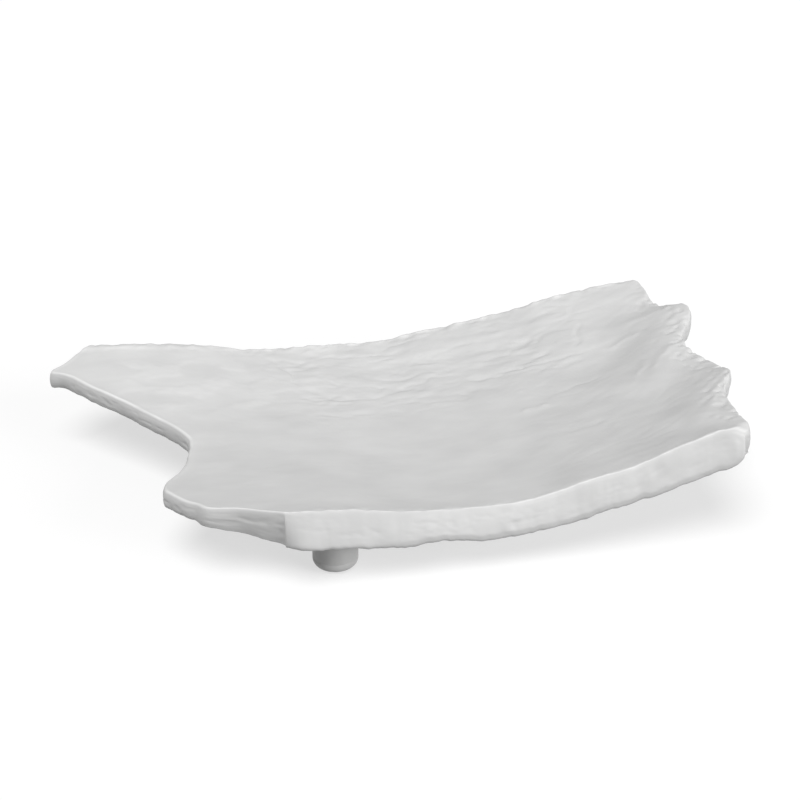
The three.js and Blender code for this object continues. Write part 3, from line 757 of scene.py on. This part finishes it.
def boss_column(name):
    """Boss for one foot: a turned column with a stepped hole from below, whose flared root and crown keep
    their height above the dish's underside, so that they follow its slope."""
    place, insert_low, insert_high = node_span("threaded_insert_" + name)
    seat = node_span("foot_" + name)[2] - SPIGOT_HEIGHT
    hole_top = insert_high + INSERT_TIP_ROOM
    socket_radius = SPIGOT_RADIUS + SPIGOT_PLAY
    root = BOSS_RADIUS + BOSS_FLARE
    hole = [
        (0, hole_top), (INSERT_HOLE_RADIUS, hole_top), (INSERT_HOLE_RADIUS, insert_low),
        (socket_radius, insert_low), (socket_radius, seat),
    ]
    lip = quarter_round(BOSS_RADIUS - BOSS_SEAT_ROUND, seat + BOSS_SEAT_ROUND, BOSS_SEAT_ROUND, -90, 0, 4)
    flare = quarter_round(root, -BOSS_FLARE, BOSS_FLARE, 180, 90)
    crown = [(root, DISH_WALL / 2), (BOSS_RADIUS / 2, DISH_WALL / 2), (0, DISH_WALL / 2)]
    radius, height = np.concatenate([hole, lip, flare, crown]).T
    angle = circle(BOSS_SIDES)
    x, y = place[0] + radius[:, None] * np.cos(angle), place[1] + radius[:, None] * np.sin(angle)
    on_dish = np.arange(len(radius))[:, None] >= len(hole) + len(lip)
    height = height[:, None] + on_dish * (dish_height(x, y) - DISH_WALL)
    return turned(radius[:, None] + 0 * angle, height, place, BOSS_SIDES)


def add_node(owner, kind, **inputs):
    """New node in the tree of a material or a world, with the given values set on its inputs."""
    node = owner.node_tree.nodes.new(kind)
    for name, value in inputs.items():
        node.inputs[name.replace("_", " ")].default_value = value
    return node


def grained(material, stretch, scale, detail):
    """Noise over a piece, drawn out along X by a stretch, with a number of hills to the metre."""
    place = add_node(material, "ShaderNodeTexCoord")
    turn = add_node(material, "ShaderNodeMapping", Scale=(1 / stretch, 1, 1))
    noise = add_node(material, "ShaderNodeTexNoise", Scale=scale, Detail=detail)
    material.node_tree.links.new(place.outputs["Object"], turn.inputs["Vector"])
    material.node_tree.links.new(turn.outputs["Vector"], noise.inputs["Vector"])
    return noise.outputs["Fac"]


NOISE_LOW = 0.3
NOISE_HIGH = 0.7


def spread(material, noise, low, high):
    """Maps the middle of a noise's range on to values between low and high."""
    ends = {"From_Min": NOISE_LOW, "From_Max": NOISE_HIGH, "To_Min": low, "To_Max": high}
    ramp = add_node(material, "ShaderNodeMapRange", **ends)
    material.node_tree.links.new(noise, ramp.inputs["Value"])
    return ramp.outputs["Result"]


def tinted(material, noise, dark, light):
    """Colour between two tints by the middle of a noise's range."""
    ramp = material.node_tree.nodes.new("ShaderNodeValToRGB")
    for stop, place, tint in zip(ramp.color_ramp.elements, (NOISE_LOW, NOISE_HIGH), (dark, light)):
        stop.position = place
        stop.color = (*tint, 1)
    material.node_tree.links.new(noise, ramp.inputs["Fac"])
    return ramp.outputs["Color"]


def roughened(material, shader, noise, strength, height):
    """Bumps a shader's surface by a noise, with a strength and a height in metres."""
    bump = add_node(material, "ShaderNodeBump", Strength=strength, Distance=height)
    material.node_tree.links.new(grained(material, *noise), bump.inputs["Height"])
    material.node_tree.links.new(bump.outputs["Normal"], shader.inputs["Normal"])


def new_material(name):
    """Empty node material with its main shader."""
    material = bpy.data.materials.new(name)
    material.use_nodes = True
    return material, material.node_tree.nodes["Principled BSDF"]


# Noises of a material: stretch along X, hills to the metre, detail
DISH_TINTS = ((0.61, 0.61, 0.608), (0.67, 0.67, 0.667))
DISH_MOTTLE = (2, 55, 3)
DISH_ROUGHNESS = (0.54, 0.68)
DISH_BLOTCHES = (3, 140, 3)
DISH_GRAIN = (5, 700, 3)
# Paler colour of the painted highlight along the rims, the back lip and the flakes
HIGHLIGHT_TINT = (0.82, 0.82, 0.815, 1)


def satin_melamine():
    """White melamine: faint mottling and a satin gloss that vary along the grain, over a fine grain, and
    paler where a highlight is painted along the rims, the back lip and the flakes."""
    material, shader = new_material("satin_melamine")
    link = material.node_tree.links.new
    body = tinted(material, grained(material, *DISH_MOTTLE), *DISH_TINTS)
    # Painted highlight: the dish's attribute mixes the paler colour into the body's tint
    highlight = add_node(material, "ShaderNodeAttribute")
    highlight.attribute_name = "painted_rim_highlight"
    highlighted = add_node(material, "ShaderNodeMixRGB", Color2=HIGHLIGHT_TINT)
    link(highlight.outputs["Fac"], highlighted.inputs["Fac"])
    link(body, highlighted.inputs["Color1"])
    link(highlighted.outputs["Color"], shader.inputs["Base Color"])
    roughness = spread(material, grained(material, *DISH_BLOTCHES), *DISH_ROUGHNESS)
    link(roughness, shader.inputs["Roughness"])
    roughened(material, shader, DISH_GRAIN, strength=0.12, height=0.0003)
    return material


melamine = satin_melamine()
*shell, highlight_shares = dish_shell()
dish = put_mesh("dish", *shell, melamine)
# Each point's share of the painted highlight goes on the dish as an attribute
dish.data.attributes.new("painted_rim_highlight", "FLOAT", "POINT").data.foreach_set("value", highlight_shares)
for name in FEET:
    boss = put_mesh("boss_" + name, *boss_column(name), melamine)
    boss.data.attributes.new("painted_rim_highlight", "FLOAT", "POINT")
    joined = dish.modifiers.new("boss", "BOOLEAN")
    joined.operation = "UNION"
    joined.solver = "MANIFOLD"
    joined.object = boss
    bpy.context.view_layer.update()
    dish.data = bpy.data.meshes.new_from_object(dish.evaluated_get(bpy.context.evaluated_depsgraph_get()))
    dish.modifiers.clear()
    bpy.data.objects.remove(boss)
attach(dish, "root")
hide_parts("platter_body")


# The threaded inserts are turned brass bushes, moulded into the bosses. A knurl on two bands grips the
# melamine, the groove between them locks the bush in, and an M4 thread runs through it.
INSERT_RADIUS = 3.2
INSERT_BORE = 2.3
INSERT_CHAMFER = 0.3
INSERT_GROOVE = 0.4
INSERT_SIDES = 96
KNURL_TEETH = 24
KNURL_DEPTH = 0.2
THREAD_PITCH = 0.7
INSERT_THREAD_DEPTH = 0.18
INSERT_THREAD_STEPS = 48
THREAD_RUN_OUT = 0.6
BRASS_TINTS = ((0.6, 0.43, 0.17), (0.7, 0.53, 0.25))
BRASS_MOTTLE = (1, 500, 3)
BRASS_ROUGHNESS = (0.24, 0.4)
BRASS_BLOTCHES = (1, 900, 2)


def helix(height, angle):
    """Triangular wave between 0 and 1 that climbs by one pitch of the thread in each turn."""
    return np.abs((height / THREAD_PITCH - angle / (2 * np.pi)) % 1 - 0.5) * 2


def insert_bush(name):
    """Closed ring: up the outside, whose radius dips between the teeth of a knurl as a cosine of the angle,
    and down the bore, whose radius rises and falls with the turn of a helix."""
    place, low, high = node_span("threaded_insert_" + name)
    middle = (low + high) / 2
    angle = circle(INSERT_SIDES)
    chamfered, grooved = INSERT_RADIUS - INSERT_CHAMFER, INSERT_RADIUS - INSERT_GROOVE
    outside = np.array([
        (chamfered, low),
        (INSERT_RADIUS, low + INSERT_CHAMFER), (INSERT_RADIUS, middle - 2 * INSERT_GROOVE),
        (grooved, middle - INSERT_GROOVE), (grooved, middle + INSERT_GROOVE),
        (INSERT_RADIUS, middle + 2 * INSERT_GROOVE), (INSERT_RADIUS, high - INSERT_CHAMFER),
        (chamfered, high),
    ])
    on_band = outside[:, :1] == INSERT_RADIUS
    radius_out = outside[:, :1] - KNURL_DEPTH * on_band * (1 - np.cos(KNURL_TEETH * angle)) / 2
    height_in = np.linspace(high, low, INSERT_THREAD_STEPS)[:, None]
    inside = ease(np.minimum(high - height_in, height_in - low), 0, THREAD_RUN_OUT)
    radius_in = INSERT_BORE - INSERT_THREAD_DEPTH * helix(height_in, angle) * inside
    radius = np.vstack([radius_out, radius_in])
    height = np.vstack([outside[:, 1:] + 0 * angle, height_in + 0 * angle])
    return turned(radius, height, place, INSERT_SIDES, ring=True)


def mottled(name, tints, mottle, roughness, blotches):
    """Material with its shader, whose tint lies between two by one noise, and whose roughness lies between
    two values by another."""
    material, shader = new_material(name)
    link = material.node_tree.links.new
    link(tinted(material, grained(material, *mottle), *tints), shader.inputs["Base Color"])
    link(spread(material, grained(material, *blotches), *roughness), shader.inputs["Roughness"])
    return material, shader


def turned_brass():
    """Brass, a little duller in blotches."""
    material, shader = mottled("turned_brass", BRASS_TINTS, BRASS_MOTTLE, BRASS_ROUGHNESS, BRASS_BLOTCHES)
    shader.inputs["Metallic"].default_value = 1.0
    return material


brass = turned_brass()
for name in FEET:
    insert = put_mesh("insert_" + name, *insert_bush(name), brass)
    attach(insert, "root")
    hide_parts("threaded_insert_" + name)


# The feet are plain round pegs moulded in the same melamine, with a rounded sole. A spigot on top centres
# each in its boss, a web inside takes the screw's head and the bore below it takes the rubber pad.
FOOT_RADIUS = 12.5
FOOT_SIDES = 144
SOLE_ROUND = 4.5
FOOT_TOP_ROUND = 0.6
FOOT_WEB = 8.0
SPIGOT_ROUND = 0.4
PAD_BORE_RADIUS = 6.8
BORE_CHAMFER = 0.3
SCREW_BORE_RADIUS = 2.3
PARTING_ABOVE_ROUND = 1.5
PARTING_HALF_WIDTH = 0.3
PARTING_DEPTH = 0.12
# The feet's tints are darker than the dish's: painted shade under the dish
SHADED_FOOT_TINTS = ((0.53, 0.53, 0.525), (0.57, 0.57, 0.565))
FOOT_MOTTLE = (1, 120, 3)
FOOT_ROUGHNESS = (0.42, 0.52)
FOOT_BLOTCHES = (1, 200, 2)
FOOT_GRAIN = (1, 900, 2)


def foot_peg(name):
    """Closed ring: from the bore's mouth round the sole, up the side with its parting line, over the
    shoulder and the spigot, down the screw's hole and the bore."""
    place, sole, top = node_span("foot_" + name)
    shoulder = top - SPIGOT_HEIGHT - SPIGOT_PLAY
    web = top - FOOT_WEB
    parting = sole + SOLE_ROUND + PARTING_ABOVE_ROUND
    profile = np.concatenate([
        [(PAD_BORE_RADIUS, sole + BORE_CHAMFER), (PAD_BORE_RADIUS + BORE_CHAMFER, sole)],
        quarter_round(FOOT_RADIUS - SOLE_ROUND, sole + SOLE_ROUND, SOLE_ROUND, -90, 0, 16),
        [(FOOT_RADIUS, parting - PARTING_HALF_WIDTH), (FOOT_RADIUS - PARTING_DEPTH, parting)],
        [(FOOT_RADIUS, parting + PARTING_HALF_WIDTH)],
        quarter_round(FOOT_RADIUS - FOOT_TOP_ROUND, shoulder - FOOT_TOP_ROUND, FOOT_TOP_ROUND, 0, 90, 6),
        [(SPIGOT_RADIUS, shoulder)],
        quarter_round(SPIGOT_RADIUS - SPIGOT_ROUND, top - SPIGOT_ROUND, SPIGOT_ROUND, 0, 90, 4),
        [(SCREW_BORE_RADIUS, top), (SCREW_BORE_RADIUS, web), (PAD_BORE_RADIUS, web)],
    ])
    return turned(*profile.T, place, FOOT_SIDES, ring=True)


def darkened_melamine():
    """The feet's melamine: plain, with a faint mottle and an even satin gloss, tinted darker than the dish's
    as painted shade.
    """
    material, shader = mottled("darkened_melamine", SHADED_FOOT_TINTS, FOOT_MOTTLE, FOOT_ROUGHNESS, FOOT_BLOTCHES)
    roughened(material, shader, FOOT_GRAIN, strength=0.1, height=0.0002)
    return material


shaded_foot_melamine = darkened_melamine()
for name in FEET:
    peg = put_mesh("peg_" + name, *foot_peg(name), shaded_foot_melamine)
    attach(peg, "root")
    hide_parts("foot_" + name)


# The foot screws are stainless M4 machine screws with a low round head and a hexagon socket. Each goes up
# through the foot's web into the insert, and clamps the foot to its boss.
SHANK_RADIUS = 2.0
SCREW_SIDES = 72
HEAD_RADIUS = 4.0
HEAD_HEIGHT = 3.0
HEAD_ROUND = 1.5
HEAD_EDGE = 0.2
HEAD_FLAT_RADIUS = 2.2
SOCKET_ACROSS = 2.5
SOCKET_DEPTH = 1.8
SOCKET_CHAMFER = 0.1
THREAD_DEPTH = 0.38
THREAD_STEPS_PER_TURN = 6
THREAD_FROM_HEAD = (0.5, 1.2)
TIP_TAPER = 0.3
TIP_LENGTH = 0.8
TIP_RADIUS = 1.5
STEEL_TINTS = ((0.5, 0.51, 0.52), (0.6, 0.61, 0.62))
STEEL_MOTTLE = (6, 900, 3)
STEEL_ROUGHNESS = (0.22, 0.38)
STEEL_BRUSHING = (8, 1200, 2)
SCREW_SHARP_DEGREES = 30


def foot_screw(name):
    """Profile from the socket's floor, down its six flats, round the domed head and up the shank, whose
    radius rises and falls with the turn of a helix and tapers at the tip."""
    place, low, high = node_span("foot_screw_" + name)
    angle = circle(SCREW_SIDES)
    flats = SOCKET_ACROSS / 2 / np.cos((angle % (np.pi / 3)) - np.pi / 6)
    seat = low + HEAD_HEIGHT
    socket_radius = np.array([0, 1, 1])[:, None] * flats
    socket_height = np.array([low + SOCKET_DEPTH, low + SOCKET_DEPTH, low + SOCKET_CHAMFER])
    head = np.concatenate([
        [(HEAD_FLAT_RADIUS, low)],
        quarter_round(HEAD_RADIUS - HEAD_ROUND, low + HEAD_ROUND, HEAD_ROUND, -90, 0, 10),
        quarter_round(HEAD_RADIUS - HEAD_EDGE, seat - HEAD_EDGE, HEAD_EDGE, 0, 90, 3),
        [(SHANK_RADIUS, seat)],
    ])
    thread_start, thread_full = (seat + distance for distance in THREAD_FROM_HEAD)
    height_up = np.arange(thread_start, high, THREAD_PITCH / THREAD_STEPS_PER_TURN)
    groove = helix(height_up[:, None], angle)
    taper = TIP_TAPER * ease(height_up, high - TIP_LENGTH, high)[:, None]
    cut = ease(height_up, thread_start, thread_full)[:, None]
    shank_radius = SHANK_RADIUS - taper - THREAD_DEPTH * groove * cut
    tip_radius = np.array([TIP_RADIUS, 0])[:, None] + 0 * angle
    radius = np.vstack([socket_radius, head[:, :1] + 0 * angle, shank_radius, tip_radius])
    height = np.concatenate([socket_height, head[:, 1], height_up, [high, high]])
    return turned(radius, height[:, None] + 0 * angle, place, SCREW_SIDES)


def brushed_steel():
    """Stainless steel with fine uneven brushing."""
    material, shader = mottled("brushed_steel", STEEL_TINTS, STEEL_MOTTLE, STEEL_ROUGHNESS, STEEL_BRUSHING)
    shader.inputs["Metallic"].default_value = 1.0
    return material


steel = brushed_steel()
for name in FEET:
    screw = put_mesh("screw_" + name, *foot_screw(name), steel, SCREW_SHARP_DEGREES)
    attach(screw, "root")
    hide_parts("foot_screw_" + name)


# The sole pads are grey rubber plugs pressed into the feet. They stand a little proud of the soles to keep
# the platter from sliding, with round grooves for grip, and hide the screws.
PAD_RADIUS = 6.5
PAD_SIDES = 96
PAD_EDGE = 0.5
PAD_TOP_ROUND = 0.3
GRIP_GROOVES = (1.6, 3.1, 4.6)
GRIP_DEPTH = 0.5
GRIP_HALF_MOUTH = 0.4
GRIP_HALF_FLOOR = 0.25
RIB_ABOVE_SOLE = 3.5
RIB_HALF_WIDTH = 0.4
RIB_HEIGHT = 0.15
RUBBER_TINTS = ((0.12, 0.12, 0.122), (0.17, 0.17, 0.172))
RUBBER_BLOOM = (1, 400, 3)
RUBBER_ROUGHNESS = (0.7, 0.88)
RUBBER_BLOTCHES = (1, 600, 2)
RUBBER_PEBBLE = (1, 2500, 2)


def sole_pad(name):
    """Profile from the sole's middle out over its grooves, each a dip between two lands, round the edge, up
    the side past a thin sealing rib, and back over the top."""
    place, low, high = node_span("sole_pad_" + name)
    dip = [
        (-GRIP_HALF_MOUTH, 0), (-GRIP_HALF_FLOOR, GRIP_DEPTH),
        (GRIP_HALF_FLOOR, GRIP_DEPTH), (GRIP_HALF_MOUTH, 0),
    ]
    grooves = [(radius + step, low + rise) for radius in GRIP_GROOVES for step, rise in dip]
    rib = low + RIB_ABOVE_SOLE
    profile = np.concatenate([
        [(0, low)],
        grooves,
        quarter_round(PAD_RADIUS - PAD_EDGE, low + PAD_EDGE, PAD_EDGE, -90, 0, 6),
        [(PAD_RADIUS, rib - RIB_HALF_WIDTH), (PAD_RADIUS + RIB_HEIGHT, rib)],
        [(PAD_RADIUS, rib + RIB_HALF_WIDTH)],
        quarter_round(PAD_RADIUS - PAD_TOP_ROUND, high - PAD_TOP_ROUND, PAD_TOP_ROUND, 0, 90, 4),
        [(0, high)],
    ])
    return turned(*profile.T, place, PAD_SIDES)


def grey_rubber():
    """Moulded rubber: dull, with a fine pebble and a faint bloom."""
    material, shader = mottled("grey_rubber", RUBBER_TINTS, RUBBER_BLOOM, RUBBER_ROUGHNESS, RUBBER_BLOTCHES)
    roughened(material, shader, RUBBER_PEBBLE, strength=0.3, height=0.0002)
    return material


rubber = grey_rubber()
for name in FEET:
    pad = put_mesh("pad_" + name, *sole_pad(name), rubber)
    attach(pad, "root")
    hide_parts("sole_pad_" + name)


# The setting: a pale floor that glows like a light table, so that shadows on it stay faint, in a room as
# pale, under a soft light from above and one from the right. The floor throws no light on matt surfaces,
# and the room looks brighter than it lights. The camera stands a little left of the front, looking down.
FLOOR_HALF = 20.0
FLOOR_TINT = (0.4, 0.4, 0.4, 1)
FLOOR_ROUGHNESS = 0.9
FLOOR_GLOW = 0.6
WHITE = (1, 1, 1, 1)
VIEW_TARGET = Vector((0.004, 0.015, 0.046))
VIEW_DISTANCE = 1.0
VIEW_AZIMUTH = -12
VIEW_ELEVATION = 27
VIEW_LENS = 76.5
# Azimuth, elevation and strength of each light
LIGHTS = {"overhead_light": (-28, 62, 2.28), "side_light": (50, 14, 1.75)}
LIGHT_SPREAD = 35
ROOM_LIGHT = 0.255
ROOM_LOOK = 1.0


def toward(azimuth, elevation):
    """Direction from the platter, one unit long, by its angle to the right of the front and its angle above
    the floor, in degrees."""
    turn, rise = np.radians((azimuth, elevation))
    return Vector((np.sin(turn) * np.cos(rise), -np.cos(turn) * np.cos(rise), np.sin(rise)))


def look_along(thing, direction):
    """Turns a camera or a light to face along a direction."""
    thing.rotation_mode = "QUATERNION"
    thing.rotation_quaternion = direction.to_track_quat("-Z", "Y")


paper, paper_shader = new_material("pale_floor")
paper_shader.inputs["Base Color"].default_value = FLOOR_TINT
paper_shader.inputs["Roughness"].default_value = FLOOR_ROUGHNESS
paper_shader.inputs["Emission Color"].default_value = WHITE
paper_shader.inputs["Emission Strength"].default_value = FLOOR_GLOW
paper.cycles.emission_sampling = "NONE"
floor_corners = np.array([(-1, -1, 0), (1, -1, 0), (1, 1, 0), (-1, 1, 0)]) * FLOOR_HALF / MM
floor = put_mesh("floor", floor_corners, [np.array([[0, 1, 2, 3]])], paper)
floor.visible_diffuse = False

camera = bpy.data.objects.new("camera", bpy.data.cameras.new("camera"))
camera.data.lens = VIEW_LENS
away = toward(VIEW_AZIMUTH, VIEW_ELEVATION)
camera.location = VIEW_TARGET + away * VIEW_DISTANCE
look_along(camera, -away)
bpy.context.scene.collection.objects.link(camera)
bpy.context.scene.camera = camera
bpy.context.scene.view_settings.view_transform = "Standard"

for name, (azimuth, elevation, strength) in LIGHTS.items():
    lamp = bpy.data.objects.new(name, bpy.data.lights.new(name, "SUN"))
    lamp.data.energy = strength
    lamp.data.angle = np.radians(LIGHT_SPREAD)
    look_along(lamp, -toward(azimuth, elevation))
    bpy.context.scene.collection.objects.link(lamp)

world = bpy.data.worlds.new("room")
world.use_nodes = True
background = world.node_tree.nodes["Background"]
background.inputs["Color"].default_value = WHITE
seen = world.node_tree.nodes.new("ShaderNodeLightPath").outputs["Is Camera Ray"]
brightness = add_node(world, "ShaderNodeMapRange", To_Min=ROOM_LIGHT, To_Max=ROOM_LOOK)
world.node_tree.links.new(seen, brightness.inputs["Value"])
world.node_tree.links.new(brightness.outputs["Result"], background.inputs["Strength"])
bpy.context.scene.world = world
